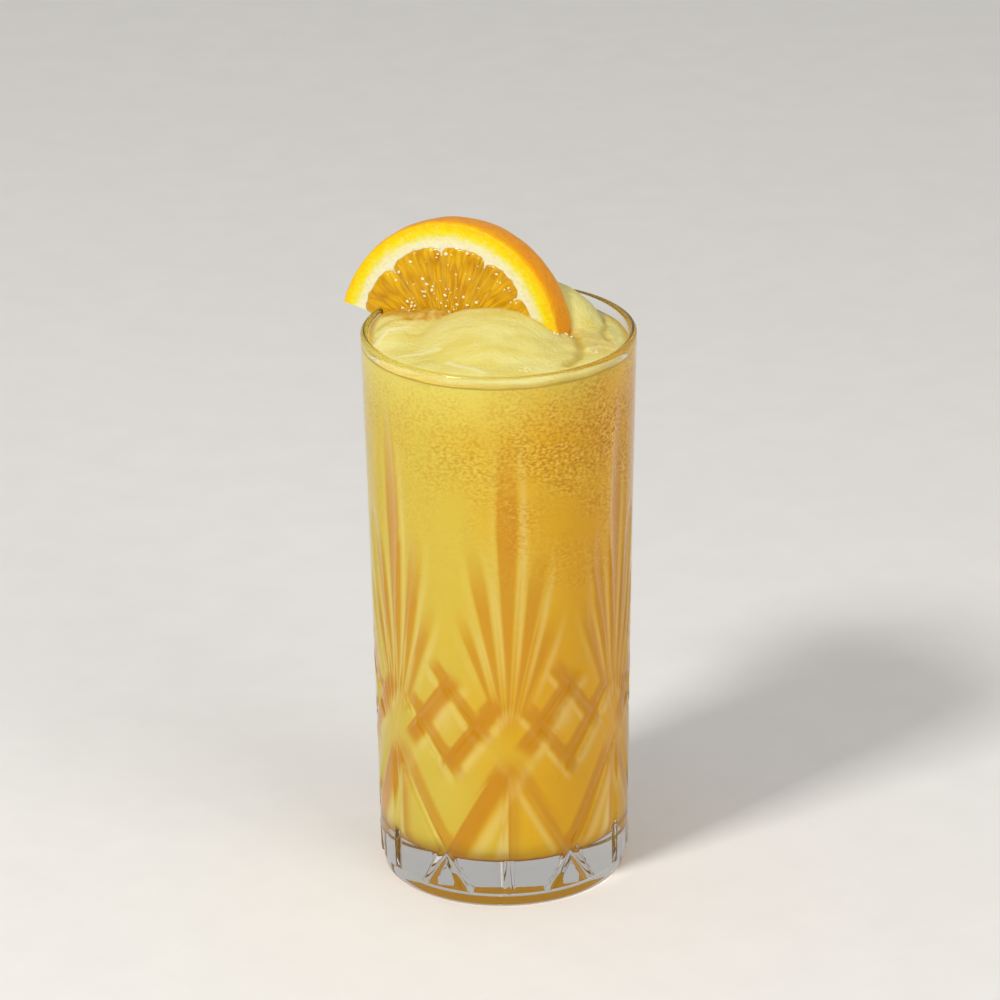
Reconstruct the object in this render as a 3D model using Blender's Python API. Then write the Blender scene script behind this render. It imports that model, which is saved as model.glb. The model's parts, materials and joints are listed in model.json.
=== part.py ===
"""Citrus smoothie in a cut highball glass, with half a wheel of orange hung on the rim.

Metres, +Z up. The origin is the middle of the glass's underside, and -Y is the front of the glass.
Three solids: glass, smoothie and orange_slice. A gap of CLEARANCE keeps them apart.
"""

import math

import bmesh
import bpy
from mathutils import Matrix, Vector

MM = 0.001
CLEARANCE = 0.3 * MM
SLIVER = 0.004 * MM
STRAIGHT = math.radians(4.0)

# Glass: a tapered tumbler with a thick base, on a heel that is set back under it
GLASS_HEIGHT = 152.5 * MM
BODY_RADIUS_LOW = 33.45 * MM
BODY_FLARE = 2.7 * MM
FLARE_POWER = 1.35
HEEL_RADIUS = 32.4 * MM
HEEL_TOP = 3.0 * MM
HEEL_FILLET = 1.7 * MM
FOOT_ROUND = 0.9 * MM
FOOT_STEPS = 3
LIP_RADIUS = 1.0 * MM
LIP_STEPS = 6
WALL_AT_RIM = 2.0 * MM
WALL_GROWTH = 2.8 * MM
FLOOR_HEIGHT = 11.0 * MM
FLOOR_CORNER = 7.0 * MM
CORNER_STEPS = 5
WALL_LEVELS = 5
HOLLOW_LEVELS = 3
GLASS_SEGMENTS = 72

# Cut pattern: fans with diamonds between them, laid out on the unrolled wall
FAN_COUNT = 6
FIRST_FAN = math.radians(2.0)
ROLL_RADIUS = 34.0 * MM
FAN_SPACING = 2.0 * math.pi * ROLL_RADIUS / FAN_COUNT
FAN_CENTRE_Z = 45.0 * MM
FLUTE_ANGLES = (-16.0, -7.9, 0.0, 7.9, 16.0)
FLUTE_LENGTHS = (45.0 * MM, 63.5 * MM, 98.0 * MM, 63.5 * MM, 45.0 * MM)
FLUTE_WIDEST = (34.0 * MM, 49.0 * MM, 62.0 * MM, 49.0 * MM, 34.0 * MM)
FLUTE_SPREAD = 0.0725
FLUTE_DEPTH_RATIO = 0.26
FLUTE_SECTION_POINTS = 5
CUT_SLOPE = 1.55
CUT_CLEAR = 0.7 * MM
UPRIGHT_CUT_DEPTH = 0.9 * MM
SLANT_CUT_DEPTHS = (0.86 * MM, 0.81 * MM)
SLANT_CROSSING_Z = 14.9 * MM
CUT_END_Z = 1.0 * MM
DIAMOND_CENTRE_Z = 53.3 * MM
DIAMOND_HALF_WIDTH = 8.5 * MM
DIAMOND_HALF_HEIGHT = 11.0 * MM
DIAMOND_CUT_LENGTH = 30.5 * MM
DIAMOND_CUT_DEPTHS = (0.8 * MM, 0.75 * MM)

# Smoothie: three smooth heaps over a domed level just under the rim
FILL_LEVEL = 149.2 * MM
FILL_DOME = 2.6 * MM
FILL_EDGE = 0.14
FILL_RINGS = 11
FILL_SEGMENTS = 54
FRONT_HEAP = (-1.8 * MM, -3.5 * MM, 22.5 * MM, 24.0 * MM, 8.7 * MM)
BACK_HEAP = (13.0 * MM, 13.0 * MM, 16.0 * MM, 14.0 * MM, 11.0 * MM)
LEFT_HEAP = (-22.0 * MM, 5.0 * MM, 16.5 * MM, 17.5 * MM, 3.9 * MM)
HEAP_BLEND = 0.8 * MM

# Orange slice: half a wheel, its flat cut downwards, leaning back
SLICE_RADIUS = 32.0 * MM
SLICE_THICKNESS = 10.3 * MM
SLICE_CENTRE = Vector((-13.4 * MM, 7.0 * MM, 146.0 * MM))
SLICE_YAW = math.radians(25.8)
SLICE_LEAN = math.radians(9.6)
SLICE_ROLL = math.radians(12.0)
RIND_BULGE = 0.45 * MM
FLESH_RADIUS = 26.0 * MM
PITH_EDGE = 1.2 * MM
SEGMENT_COUNT = 10
SEGMENT_START = math.radians(9.0)
SEGMENT_RELIEF = 0.55 * MM
SLICE_STEPS = 40


def outer_radius(height):
    """Radius of the uncut wall at a height."""
    share = max(height, 0.0) / GLASS_HEIGHT
    return BODY_RADIUS_LOW + BODY_FLARE * share**FLARE_POWER


def inner_radius(height):
    """Radius of the hollow at a height: the wall grows thicker towards the base."""
    share = 1.0 - height / GLASS_HEIGHT
    return outer_radius(height) - WALL_AT_RIM - WALL_GROWTH * share


def arc_points(centre_x, centre_z, radius, start, end, steps):
    """Points (x, z) along an arc, with both ends."""
    points = []
    for step in range(steps + 1):
        angle = start + (end - start) * step / steps
        points.append((centre_x + radius * math.cos(angle), centre_z + radius * math.sin(angle)))
    return points


def hollow_profile(inset, top):
    """Hollow's outline from the wall at height top down to the middle of the floor, set in by inset."""
    corner_z = FLOOR_HEIGHT + FLOOR_CORNER
    points = []
    for level in range(HOLLOW_LEVELS):
        height = top + (corner_z - top) * level / HOLLOW_LEVELS
        points.append((inner_radius(height) - inset, height))
    corner_x = inner_radius(corner_z) - FLOOR_CORNER
    points += arc_points(corner_x, corner_z, FLOOR_CORNER - inset, 0.0, -math.pi / 2.0, CORNER_STEPS)
    points.append((0.0, FLOOR_HEIGHT + inset))
    return points


def glass_profile():
    """Outline of the glass, from the middle of its underside up the outside and down the hollow."""
    points = [(0.0, 0.0)]
    points += arc_points(HEEL_RADIUS - FOOT_ROUND, FOOT_ROUND, FOOT_ROUND, -0.5 * math.pi, 0.0, FOOT_STEPS)
    fillet_x = HEEL_RADIUS + HEEL_FILLET
    fillet_end = math.acos((outer_radius(HEEL_TOP + HEEL_FILLET) - fillet_x) / HEEL_FILLET)
    points += arc_points(fillet_x, HEEL_TOP, HEEL_FILLET, math.pi, fillet_end, FOOT_STEPS)
    crease_z = points[-1][1]
    lip_z = GLASS_HEIGHT - LIP_RADIUS
    for level in range(1, WALL_LEVELS + 1):
        height = crease_z + (lip_z - crease_z) * level / WALL_LEVELS
        points.append((outer_radius(height), height))
    lip_x = outer_radius(lip_z) - LIP_RADIUS
    points += arc_points(lip_x, lip_z, LIP_RADIUS, 0.0, math.pi, LIP_STEPS)[1:]
    points += hollow_profile(0.0, lip_z)[1:]
    return points


def turned_mesh(bm, points, segments):
    """Spin an outline (x, z) that starts and ends on the Z axis into a closed body."""
    verts = [bm.verts.new((x, 0.0, z)) for x, z in points]
    edges = [bm.edges.new(pair) for pair in zip(verts, verts[1:])]
    bmesh.ops.spin(
        bm,
        geom=verts + edges,
        cent=(0.0, 0.0, 0.0),
        axis=(0.0, 0.0, 1.0),
        angle=2.0 * math.pi,
        steps=segments,
        use_merge=True,
    )
    bmesh.ops.remove_doubles(bm, verts=bm.verts[:], dist=0.01 * MM)
    bmesh.ops.recalc_face_normals(bm, faces=bm.faces[:])


def material(name, color, roughness, transmission=0.0, ior=1.45):
    """A plain Principled material."""
    made = bpy.data.materials.new(name)
    made.use_nodes = True
    shader = made.node_tree.nodes["Principled BSDF"]
    shader.inputs["Base Color"].default_value = (*color, 1.0)
    shader.inputs["Roughness"].default_value = roughness
    shader.inputs["Metallic"].default_value = 0.0
    shader.inputs["Transmission Weight"].default_value = transmission
    shader.inputs["IOR"].default_value = ior
    made.diffuse_color = (*color, 1.0)
    return made


def object_from(bm, name, finish=None, smooth_angle=None):
    """Turn a bmesh into an object in the scene."""
    mesh = bpy.data.meshes.new(name)
    bm.to_mesh(mesh)
    bm.free()
    if smooth_angle is not None:
        mesh.shade_smooth()
        mesh.set_sharp_from_angle(angle=smooth_angle)
    if finish:
        mesh.materials.append(finish)
    made = bpy.data.objects.new(name, mesh)
    bpy.context.scene.collection.objects.link(made)
    return made


def subtract(target, cutter):
    """Cut one object away from another, and drop the cutter."""
    boolean = target.modifiers.new("cut", "BOOLEAN")
    boolean.operation = "DIFFERENCE"
    boolean.object = cutter
    bpy.context.view_layer.objects.active = target
    bpy.ops.object.modifier_apply(modifier=boolean.name)
    bpy.data.objects.remove(cutter)


def merge_slivers(target):
    """Close the hair-thin slivers that crossing cuts leave."""
    bm = bmesh.new()
    bm.from_mesh(target.data)
    straight = [v for v in bm.verts if len(v.link_edges) == 2 and v.calc_edge_angle(1.0) < STRAIGHT]
    bmesh.ops.dissolve_verts(bm, verts=straight)
    bmesh.ops.triangulate(bm, faces=bm.faces[:])
    bmesh.ops.remove_doubles(bm, verts=bm.verts[:], dist=SLIVER)
    bmesh.ops.dissolve_degenerate(bm, edges=bm.edges[:], dist=0.5 * SLIVER)
    bm.to_mesh(target.data)
    bm.free()


def rolled(along, height, depth):
    """Place a point of the unrolled wall: along it, up it and below its surface."""
    angle = FIRST_FAN + along / ROLL_RADIUS
    radius = outer_radius(height) - depth
    return Vector((radius * math.sin(angle), -radius * math.cos(angle), height))


def add_cut(cuts, start, end, stations, section):
    """Make the body that one cut removes, from a path on the unrolled wall.

    stations holds (distance, depth, shape) rows; section turns depth and shape into (across, depth) points.
    """
    bm = bmesh.new()
    way = (Vector(end) - Vector(start)).normalized()
    rings = []
    for distance, depth, shape in stations:
        spot = Vector(start) + way * distance
        ring = []
        for across, down in section(depth, shape):
            ring.append(bm.verts.new(rolled(spot.x + way.y * across, spot.y - way.x * across, down)))
        rings.append(ring)
    tips = []
    for distance in (stations[0][0] - CUT_CLEAR, stations[-1][0] + CUT_CLEAR):
        spot = Vector(start) + way * distance
        tips.append(bm.verts.new(rolled(spot.x, spot.y, -CUT_CLEAR)))
    count = len(rings[0])
    for near, far in zip(rings, rings[1:]):
        for place in range(count):
            following = (place + 1) % count
            bm.faces.new((near[place], near[following], far[following], far[place]))
    for place in range(count):
        following = (place + 1) % count
        bm.faces.new((tips[0], rings[0][following], rings[0][place]))
        bm.faces.new((tips[1], rings[-1][place], rings[-1][following]))
    bmesh.ops.recalc_face_normals(bm, faces=bm.faces[:])
    cutter = object_from(bm, "cut_%d" % len(cuts.objects))
    bpy.context.scene.collection.objects.unlink(cutter)
    cuts.objects.link(cutter)


def notch_section(depth, slope):
    """V section of a mitre cut, closed above the surface."""
    wing = (depth + CUT_CLEAR) * slope
    return [(-wing, -CUT_CLEAR), (0.0, depth), (wing, -CUT_CLEAR), (0.0, -2.0 * CUT_CLEAR)]


def flute_section(depth, curve):
    """Hollow section of a flute, closed above the surface."""
    wing = math.sqrt((depth + CUT_CLEAR) / curve)
    points = []
    for place in range(FLUTE_SECTION_POINTS):
        across = wing * (2.0 * place / (FLUTE_SECTION_POINTS - 1) - 1.0)
        points.append((across, depth - curve * across * across))
    points.append((0.0, -2.0 * CUT_CLEAR))
    return points


def flute_stations(length, widest):
    """Depth and curve along a flute: it widens from the fan's centre and runs out to a rounded tip."""
    rows = []
    for share in (0.12, 0.35, 0.7, 1.0):
        distance = widest * share
        half_width = FLUTE_SPREAD * distance
        depth = 2.0 * FLUTE_DEPTH_RATIO * half_width * 0.5
        rows.append((distance, depth, depth / half_width**2))
    top_depth, curve = rows[-1][1:]
    for share in (0.35, 0.65, 0.85, 1.0):
        rows.append((widest + (length - widest) * share, top_depth * (1.0 - share * share), curve))
    return rows


def add_fan(cuts, middle):
    """Five hollow flutes above a fan's centre, and an upright and two slanting cuts below it."""
    for degrees, length, widest in zip(FLUTE_ANGLES, FLUTE_LENGTHS, FLUTE_WIDEST):
        lean = math.radians(degrees)
        start = (middle, FAN_CENTRE_Z)
        end = (middle + length * math.sin(lean), FAN_CENTRE_Z + length * math.cos(lean))
        add_cut(cuts, start, end, flute_stations(length, widest), flute_section)
    drop = FAN_CENTRE_Z - CUT_END_Z
    rows = [
        (0.03 * drop, 0.1 * UPRIGHT_CUT_DEPTH, CUT_SLOPE),
        (0.4 * drop, UPRIGHT_CUT_DEPTH, CUT_SLOPE),
        (drop, UPRIGHT_CUT_DEPTH, CUT_SLOPE),
    ]
    add_cut(cuts, (middle, FAN_CENTRE_Z), (middle, CUT_END_Z), rows, notch_section)
    slant = 0.5 * FAN_SPACING / (FAN_CENTRE_Z - SLANT_CROSSING_Z)
    length = drop * math.hypot(1.0, slant)
    for side, depth in zip((-1.0, 1.0), SLANT_CUT_DEPTHS):
        rows = [(0.03 * length, 0.1 * depth, CUT_SLOPE)]
        for share in (0.35, 0.5, 0.65, 0.8, 1.0):
            rows.append((share * length, depth, CUT_SLOPE))
        end = (middle + side * slant * drop, CUT_END_Z)
        add_cut(cuts, (middle, FAN_CENTRE_Z), end, rows, notch_section)


def add_diamond(cuts, middle):
    """Four crossing mitre cuts that frame a diamond."""
    edge = Vector((DIAMOND_HALF_WIDTH, DIAMOND_HALF_HEIGHT))
    for across, up in ((-1, 1), (1, 1), (1, -1), (-1, -1)):
        spot = Vector((middle, DIAMOND_CENTRE_Z))
        spot += Vector((across * DIAMOND_HALF_WIDTH, up * DIAMOND_HALF_HEIGHT)) * 0.5
        way = Vector((-edge.x * across * up, edge.y)).normalized()
        start = spot - way * DIAMOND_CUT_LENGTH * 0.5
        end = spot + way * DIAMOND_CUT_LENGTH * 0.5
        rows = []
        deepest = DIAMOND_CUT_DEPTHS[across * up > 0]
        for share in (0.0, 0.15, 0.5, 0.85, 1.0):
            depth = deepest * (1.0 - (2.0 * share - 1.0) ** 4)
            rows.append((share * DIAMOND_CUT_LENGTH, depth, CUT_SLOPE))
        add_cut(cuts, start, end, rows, notch_section)


def make_glass():
    """Turned glass with its cut pattern."""
    body = bmesh.new()
    turned_mesh(body, glass_profile(), GLASS_SEGMENTS)
    crystal = material("pressed_crystal", (0.93, 0.95, 0.94), 0.03, transmission=1.0, ior=1.52)
    glass = object_from(body, "glass", crystal, smooth_angle=math.radians(15.0))
    cuts = bpy.data.collections.new("cuts")
    bpy.context.scene.collection.children.link(cuts)
    for index in range(FAN_COUNT):
        add_fan(cuts, index * FAN_SPACING)
        add_diamond(cuts, (index + 0.5) * FAN_SPACING)
    boolean = glass.modifiers.new("cuts", "BOOLEAN")
    boolean.operation = "DIFFERENCE"
    boolean.operand_type = "COLLECTION"
    boolean.collection = cuts
    bpy.context.view_layer.objects.active = glass
    bpy.ops.object.modifier_apply(modifier=boolean.name)
    for cutter in list(cuts.objects):
        bpy.data.objects.remove(cutter)
    bpy.data.collections.remove(cuts)
    merge_slivers(glass)
    glass.data.set_sharp_from_angle(angle=math.radians(15.0))
    return glass


def heap_height(x, y, heap):
    """Height of one rounded heap above the fill level, 0 outside it."""
    centre_x, centre_y, half_long, half_wide, height = heap
    long_x, long_y = math.cos(SLICE_YAW), -math.sin(SLICE_YAW)
    dx, dy = x - centre_x, y - centre_y
    along = (dx * long_x + dy * long_y) / half_long
    aside = (dx * -long_y + dy * long_x) / half_wide
    return height * max(0.0, 1.0 - along * along - aside * aside)


def smooth_max(first, second, blend):
    """Larger of two heights, rounded where they meet."""
    nearness = max(0.0, blend - abs(first - second)) / blend
    return max(first, second) + 0.25 * blend * nearness * nearness


def fill_height(x, y):
    """Height of the smoothie's top at a place in the glass."""
    share = math.hypot(x, y) / inner_radius(FILL_LEVEL)
    top = FILL_DOME * max(0.0, 1.0 - share**4)
    for heap in (FRONT_HEAP, BACK_HEAP, LEFT_HEAP):
        top = smooth_max(top, heap_height(x, y, heap), HEAP_BLEND)
    fade = min(1.0, max(0.0, (1.0 - share) / FILL_EDGE))
    return FILL_LEVEL + top * fade * (2.0 - fade)


def make_smoothie():
    """Drink that fills the hollow up to its heaped top, cut round the slice."""
    bm = bmesh.new()
    outline = hollow_profile(CLEARANCE, FILL_LEVEL)
    edge = outline[0][0]
    top = [(edge * ring / FILL_RINGS, FILL_LEVEL) for ring in range(FILL_RINGS)]
    turned_mesh(bm, top + outline, FILL_SEGMENTS)
    for vert in bm.verts:
        if abs(vert.co.z - FILL_LEVEL) < 0.01 * MM:
            vert.co.z = fill_height(vert.co.x, vert.co.y)
    finish = material("smoothie", (0.80, 0.60, 0.12), 0.35)
    smoothie = object_from(bm, "smoothie", finish, smooth_angle=math.radians(40.0))
    room = slice_mesh(CLEARANCE, relief=0.0)
    subtract(smoothie, object_from(room, "slice_room"))
    merge_slivers(smoothie)
    return smoothie


def slice_matrix():
    """Placement of the slice: its local +Z is the face turned to the front, its +Y points up."""
    face = Vector(
        (
            -math.sin(SLICE_YAW) * math.cos(SLICE_LEAN),
            -math.cos(SLICE_YAW) * math.cos(SLICE_LEAN),
            math.sin(SLICE_LEAN),
        )
    )
    right = Vector((0.0, 0.0, 1.0)).cross(face).normalized()
    up = face.cross(right)
    turn = Matrix((right, up, face)).transposed().to_4x4()
    return Matrix.Translation(SLICE_CENTRE) @ turn @ Matrix.Rotation(-SLICE_ROLL, 4, "Z")


def segment_relief(radius, angle):
    """Rise of the cut face: juicy segments swell between their skins."""
    if radius > FLESH_RADIUS:
        return 0.0
    step = math.pi / (SEGMENT_COUNT / 2.0)
    phase = ((angle - SEGMENT_START) / step) % 1.0
    swell = math.sin(math.pi * phase) ** 0.5
    edge = min(1.0, (FLESH_RADIUS - radius) / PITH_EDGE) * min(1.0, radius / (4.0 * PITH_EDGE))
    return swell * edge - 0.6


def slice_mesh(grow, relief):
    """Half wheel with a bulging rind and swelling segments, grown by an even allowance."""
    back = -SLICE_THICKNESS - grow
    radii = (0.0, 3.0 * MM, 9.0 * MM, 17.0 * MM, 24.0 * MM, FLESH_RADIUS, SLICE_RADIUS + grow)
    outline = [(radius, grow) for radius in radii]
    middle = 0.5 * (grow + back)
    outline.append((SLICE_RADIUS + grow + RIND_BULGE * 0.75, 0.5 * (middle + grow)))
    outline.append((SLICE_RADIUS + grow + RIND_BULGE, middle))
    outline.append((SLICE_RADIUS + grow + RIND_BULGE * 0.75, 0.5 * (middle + back)))
    outline += [(radius, back) for radius in reversed(radii)]
    bm = bmesh.new()
    verts = [bm.verts.new((x, 0.0, z)) for x, z in outline]
    edges = [bm.edges.new(pair) for pair in zip(verts, verts[1:])]
    bmesh.ops.spin(
        bm,
        geom=verts + edges,
        cent=(0.0, 0.0, 0.0),
        axis=(0.0, 0.0, 1.0),
        angle=math.pi,
        steps=SLICE_STEPS,
        use_merge=False,
    )
    bmesh.ops.remove_doubles(bm, verts=bm.verts[:], dist=0.01 * MM)
    bmesh.ops.holes_fill(bm, edges=[edge for edge in bm.edges if edge.is_boundary], sides=0)
    bmesh.ops.recalc_face_normals(bm, faces=bm.faces[:])
    for vert in bm.verts:
        radius = math.hypot(vert.co.x, vert.co.y)
        angle = math.atan2(vert.co.y, vert.co.x)
        if radius > 0.5 * MM and vert.co.y > 0.01 * MM:
            rise = relief * segment_relief(radius, angle)
            vert.co.z += rise if vert.co.z > middle else -rise
        if abs(vert.co.y) < 0.01 * MM:
            vert.co.y -= grow
    bmesh.ops.transform(bm, matrix=slice_matrix(), verts=bm.verts[:])
    return bm


def make_slice():
    """Orange slice, slit where the rim holds it."""
    finish = material("orange", (0.86, 0.42, 0.03), 0.4)
    orange = object_from(slice_mesh(0.0, SEGMENT_RELIEF), "orange_slice", finish, math.radians(35.0))
    slit_low = SLICE_CENTRE.z - SLICE_RADIUS
    slit_top = GLASS_HEIGHT + CLEARANCE
    wide = outer_radius(GLASS_HEIGHT) + CLEARANCE
    narrow = inner_radius(GLASS_HEIGHT) - CLEARANCE
    bm = bmesh.new()
    corners = [(wide, slit_low), (wide, slit_top), (narrow, slit_top), (narrow, slit_low)]
    verts = [bm.verts.new((x, 0.0, z)) for x, z in corners]
    edges = [bm.edges.new(pair) for pair in zip(verts, verts[1:] + verts[:1])]
    bmesh.ops.spin(
        bm,
        geom=verts + edges,
        cent=(0.0, 0.0, 0.0),
        axis=(0.0, 0.0, 1.0),
        angle=2.0 * math.pi,
        steps=GLASS_SEGMENTS,
        use_merge=True,
    )
    bmesh.ops.remove_doubles(bm, verts=bm.verts[:], dist=0.01 * MM)
    bmesh.ops.recalc_face_normals(bm, faces=bm.faces[:])
    subtract(orange, object_from(bm, "rim_room"))
    return orange


def main():
    for old in list(bpy.data.objects):
        bpy.data.objects.remove(old)
    make_glass()
    make_smoothie()
    make_slice()


main()
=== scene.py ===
"""A citrus smoothie in a cut highball glass, with half a wheel of orange on its rim.

Every piece is in metres, +Z up, with the middle of the glass's underside at the origin and -Y in front.
"""

import json
import math
from random import Random

import bmesh
import bpy
from bpy.props import FloatProperty, FloatVectorProperty, IntProperty, PointerProperty
from bpy.types import Operator, Panel, PropertyGroup
from mathutils import Matrix, Vector, noise

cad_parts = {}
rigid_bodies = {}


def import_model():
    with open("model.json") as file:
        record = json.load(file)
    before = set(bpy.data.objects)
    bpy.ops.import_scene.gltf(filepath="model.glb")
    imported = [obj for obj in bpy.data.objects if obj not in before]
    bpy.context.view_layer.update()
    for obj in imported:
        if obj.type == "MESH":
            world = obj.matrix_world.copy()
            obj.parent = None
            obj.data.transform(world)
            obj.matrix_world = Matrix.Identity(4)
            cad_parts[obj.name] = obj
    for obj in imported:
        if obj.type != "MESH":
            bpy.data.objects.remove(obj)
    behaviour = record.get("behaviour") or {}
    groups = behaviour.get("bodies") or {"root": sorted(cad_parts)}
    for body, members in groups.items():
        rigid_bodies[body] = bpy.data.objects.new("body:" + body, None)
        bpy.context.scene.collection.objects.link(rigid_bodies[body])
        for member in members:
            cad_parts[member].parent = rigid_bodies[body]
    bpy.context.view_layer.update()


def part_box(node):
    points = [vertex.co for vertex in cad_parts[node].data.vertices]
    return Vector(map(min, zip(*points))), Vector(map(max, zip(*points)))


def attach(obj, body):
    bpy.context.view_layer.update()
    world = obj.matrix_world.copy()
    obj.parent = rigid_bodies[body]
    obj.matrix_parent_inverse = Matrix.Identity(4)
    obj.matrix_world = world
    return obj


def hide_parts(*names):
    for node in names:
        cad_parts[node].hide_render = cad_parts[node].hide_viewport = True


bl_info = {
    "name": "Citrus Smoothie",
    "version": (1, 0, 0),
    "blender": (4, 5, 0),
    "location": "3D View > Sidebar > Smoothie",
    "description": "Builds a citrus smoothie in a cut highball glass with an orange slice",
    "category": "Add Mesh",
}

MM = 0.001
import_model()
GLASS_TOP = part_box("glass")[1][2]
FLOOR_GAP = 0.1 * MM

# Heel of the glass, set back under its base
HEEL_RADIUS = 32.4 * MM
HEEL_TOP = 3.0 * MM
HEEL_FILLET = 1.7 * MM
FOOT_ROUND = 0.9 * MM
LIP_RADIUS = 1.0 * MM

# Cut pattern, laid out on the unrolled wall: fans, with a diamond between each two
FAN_COUNT = 6
FIRST_FAN = math.radians(2.0)
ROLL_RADIUS = 34.0 * MM
FAN_SPACING = 2.0 * math.pi * ROLL_RADIUS / FAN_COUNT
FAN_CENTRE_Z = 45.0 * MM
FLUTE_ANGLES = (-16.0, -7.9, 0.0, 7.9, 16.0)
FLUTE_LENGTHS = (45.0 * MM, 63.5 * MM, 98.0 * MM, 63.5 * MM, 45.0 * MM)
FLUTE_WIDEST = (34.0 * MM, 49.0 * MM, 62.0 * MM, 49.0 * MM, 34.0 * MM)
FLUTE_SPREAD = 0.0725
CUT_SLOPE = 1.55
CUT_CLEAR = 0.7 * MM
SLANT_CROSSING_Z = 14.9 * MM
CUT_END_Z = 1.0 * MM
DIAMOND_CENTRE_Z = 53.3 * MM
DIAMOND_HALF_WIDTH = 8.5 * MM
DIAMOND_HALF_HEIGHT = 11.0 * MM
DIAMOND_CUT_LENGTH = 30.5 * MM

# Slice of orange, in its own plane: +X right, +Y up, +Z out of the face turned to the front
SLICE_CENTRE = Vector((-13.4 * MM, 7.0 * MM, 146.0 * MM))
SLICE_YAW = math.radians(25.8)
SLICE_LEAN = math.radians(9.6)
SLICE_ROLL = math.radians(12.0)
FLESH_RADIUS = 26.0 * MM
SKIN_ANGLES = (-8.0, 17.0, 49.0, 79.0, 110.0, 147.0, 181.0)
FAINT_SKIN_ANGLES = (64.0, 73.0, 120.5, 129.0)

# Smoothie: heaps over a domed level just under the rim, each as x, y, half length, half width and height
FRONT_HEAP = (-1.8 * MM, -3.5 * MM, 22.5 * MM, 24.0 * MM, 8.7 * MM)
BACK_HEAP = (13.0 * MM, 13.0 * MM, 16.0 * MM, 14.0 * MM, 11.0 * MM)
LEFT_HEAP = (-22.0 * MM, 5.0 * MM, 16.5 * MM, 17.5 * MM, 3.9 * MM)
SADDLE_HEAP = (-16.5 * MM, 7.5 * MM, 11.0 * MM, 10.0 * MM, 5.8 * MM)
HEAP_BLEND = 0.8 * MM
FILL_EDGE = 0.14
WALL_REACH = 0.12 * MM
CLING_PLACE = (-31.0 * MM, 12.0 * MM)
DRINK_SEGMENTS = 480

# Folds of the open top, seen from above: (x, y) points in millimetres, then height and width
FOLDS = (
    (((-25.5, -14.6), (-22.0, -14.0), (-18.5, -14.4), (-15.2, -15.6)), 0.2 * MM, 0.65 * MM),
    (((-13.4, -21.4), (-11.0, -23.0), (-8.0, -24.6), (-4.0, -27.4)), 0.22 * MM, 0.65 * MM),
    (((17.0, 1.5), (20.2, -4.5), (21.2, -10.0), (20.6, -17.0), (17.5, -22.0)), -0.75 * MM, 1.3 * MM),
    (((26.5, 15.0), (28.6, 8.0), (27.0, 2.0), (28.5, -4.0)), -0.6 * MM, 0.9 * MM),
    (((-32.5, -6.0), (-28.5, -0.8), (-23.0, 1.6)), 0.25 * MM, 0.8 * MM),
    (((-31.5, 1.0), (-28.0, 5.0), (-22.5, 6.6)), -0.4 * MM, 0.9 * MM),
    (((22.5, -12.0), (27.0, -9.0), (30.0, -9.5)), 0.25 * MM, 0.6 * MM),
)

# Clusters of bubbles on the froth: (x, y) of the middle and spread in millimetres, and how many
BUBBLES = (
    ((6.6, -26.4), 1.6, 9),
    ((-5.6, -17.7), 0.7, 2),
    ((17.6, -2.2), 1.5, 12),
    ((14.6, -5.4), 1.2, 6),
    ((24.0, -12.0), 4.0, 4),
)

# Real sizes of the fine patterns: spacing of their specks, clouds, grains and pores
PULP_SPECK = 0.9524 * MM
PULP_PATCH = 11.11 * MM
FROTH_CLOUD = 7.143 * MM
FROTH_GRAIN = 1.111 * MM
RIND_CLOUD = 2.222 * MM
PEEL_PORE = 1.0526 * MM
PAPER_CLOUD = 16.667 * MM


def linear(code):
    """Turn an sRGB hex colour into linear red, green and blue."""
    parts = [int(code[place : place + 2], 16) / 255.0 for place in (1, 3, 5)]
    return tuple(part / 12.92 if part <= 0.04045 else ((part + 0.055) / 1.055) ** 2.4 for part in parts)


def rgba(code):
    """Linear colour of an sRGB hex code, with full alpha."""
    return (*linear(code), 1.0)


class GlassSettings(PropertyGroup):
    """Sizes and tint of the glass."""

    height: FloatProperty(name="Height", description="Foot to rim", default=GLASS_TOP, unit="LENGTH")
    base_radius: FloatProperty(
        name="Base Radius", description="Outside radius low down", default=33.45 * MM, unit="LENGTH"
    )
    flare: FloatProperty(
        name="Flare", description="How far the rim stands out", default=2.7 * MM, unit="LENGTH"
    )
    rim_wall: FloatProperty(
        name="Rim Wall", description="Thickness of the wall at the rim", default=2.0 * MM, unit="LENGTH"
    )
    wall_growth: FloatProperty(
        name="Wall Growth", description="Extra wall thickness at the base", default=2.8 * MM, unit="LENGTH"
    )
    floor_height: FloatProperty(
        name="Floor Height", description="Thickness of the base", default=11.0 * MM, unit="LENGTH"
    )
    floor_corner: FloatProperty(
        name="Floor Corner", description="Radius at the hollow's foot", default=7.0 * MM, unit="LENGTH"
    )
    cut_depth: FloatProperty(
        name="Cut Depth", description="Depth of the straight V cuts", default=0.85 * MM, unit="LENGTH"
    )
    flute_depth: FloatProperty(
        name="Flute Depth", description="Share of half a flute's width", default=0.2, min=0.05, max=0.5
    )
    segments: IntProperty(name="Segments", description="Facets round it", default=360, min=72, max=720)
    tint: FloatVectorProperty(
        name="Tint", description="Colour of the crystal", subtype="COLOR", default=(0.985, 0.992, 0.988)
    )


class SmoothieSettings(PropertyGroup):
    """Level and colours of the drink."""

    level: FloatProperty(
        name="Level", description="Height of the drink at the wall", default=149.2 * MM, unit="LENGTH"
    )
    dome: FloatProperty(
        name="Dome", description="Rise of the level between the heaps", default=2.6 * MM, unit="LENGTH"
    )
    foam_color: FloatVectorProperty(
        name="Foam", description="Palest froth", subtype="COLOR", default=linear("#e9df8e")
    )
    # Colour of the drink where its painted side shade is deepest
    shaded_body_color: FloatVectorProperty(
        name="Body", description="Darkest juice", subtype="COLOR", default=linear("#dca600")
    )


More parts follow.
